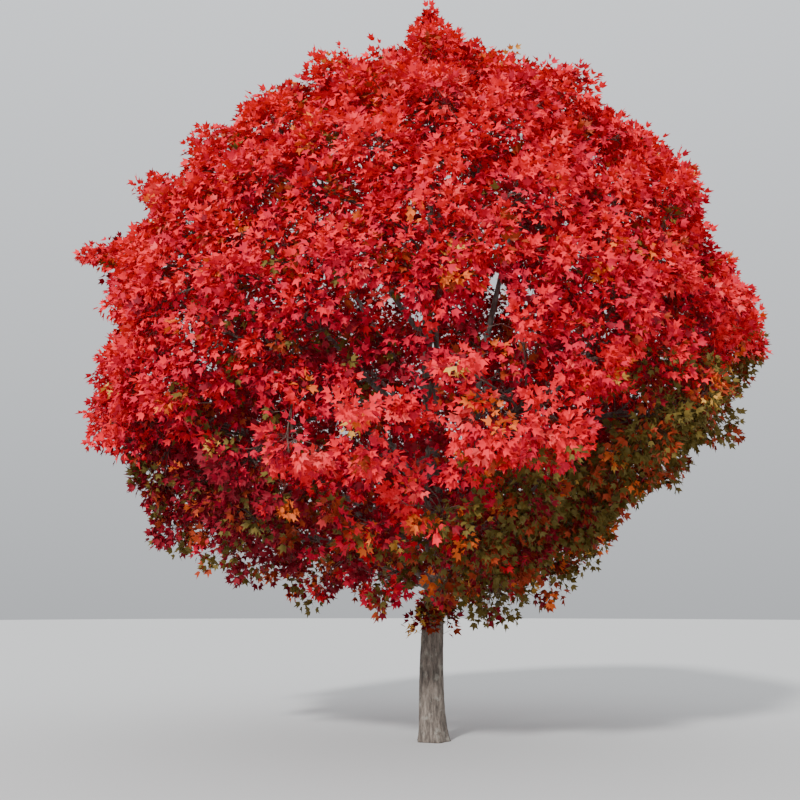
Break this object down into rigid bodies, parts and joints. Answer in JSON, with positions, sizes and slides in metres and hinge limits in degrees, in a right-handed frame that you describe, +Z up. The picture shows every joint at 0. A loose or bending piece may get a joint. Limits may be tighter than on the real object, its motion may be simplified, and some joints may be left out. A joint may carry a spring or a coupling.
{
  "type": "deciduous tree",
  "caption": "Round-headed maple in full red autumn leaf on a short clear trunk that forks low, for gardens, lanes and parkland scenes.",
  "frame": {"origin": "centre of the flat cut under the trunk, at ground level", "axes": "+Z up along the trunk, -Y towards the viewer of the picture, +X to the right of the picture"},
  "size_m": [8.2185, 7.4903, 8.9682],
  "materials": {
    "trunk_bark": "rough grey bark",
    "bough_bark": "smoother grey bark",
    "red_leaves": "crimson and scarlet autumn leaves",
    "shade_leaves": "dark red, orange and olive autumn leaves"
  },
  "bodies": {
    "root": {"bough_middle_1": "bough_bark", "bough_middle_2": "bough_bark", "bough_middle_3": "bough_bark", "bough_middle_4": "bough_bark", "bough_middle_5": "bough_bark", "bough_middle_6": "bough_bark", "bough_middle_7": "bough_bark", "bough_skirt_1": "bough_bark", "bough_skirt_2": "bough_bark", "bough_skirt_3": "bough_bark", "bough_skirt_4": "bough_bark", "bough_skirt_5": "bough_bark", "bough_upper_2": "bough_bark", "bough_upper_3": "bough_bark", "bough_upper_4": "bough_bark", "bough_upper_5": "bough_bark", "bough_wide_1": "bough_bark", "bough_wide_2": "bough_bark", "bough_wide_3": "bough_bark", "bough_wide_4": "bough_bark", "bough_wide_5": "bough_bark", "bough_wide_6": "bough_bark", "bough_wide_7": "bough_bark", "bough_wide_8": "bough_bark", "second_stem": "trunk_bark", "trunk": "trunk_bark", "foliage_middle_1": "red_leaves", "foliage_middle_2": "red_leaves", "foliage_middle_3": "red_leaves", "foliage_middle_4": "red_leaves", "foliage_middle_5": "red_leaves", "foliage_middle_6": "red_leaves", "foliage_middle_7": "red_leaves", "foliage_skirt_1": "shade_leaves", "foliage_skirt_2": "shade_leaves", "foliage_skirt_3": "shade_leaves", "foliage_skirt_4": "shade_leaves", "foliage_skirt_5": "shade_leaves", "foliage_top": "red_leaves", "foliage_upper_1": "red_leaves", "foliage_upper_2": "red_leaves", "foliage_upper_3": "red_leaves", "foliage_upper_4": "red_leaves", "foliage_upper_5": "red_leaves", "foliage_wide_1": "red_leaves", "foliage_wide_2": "red_leaves", "foliage_wide_3": "red_leaves", "foliage_wide_4": "red_leaves", "foliage_wide_5": "red_leaves", "foliage_wide_6": "red_leaves", "foliage_wide_7": "red_leaves", "foliage_wide_8": "red_leaves"}
  },
  "joints": []
}
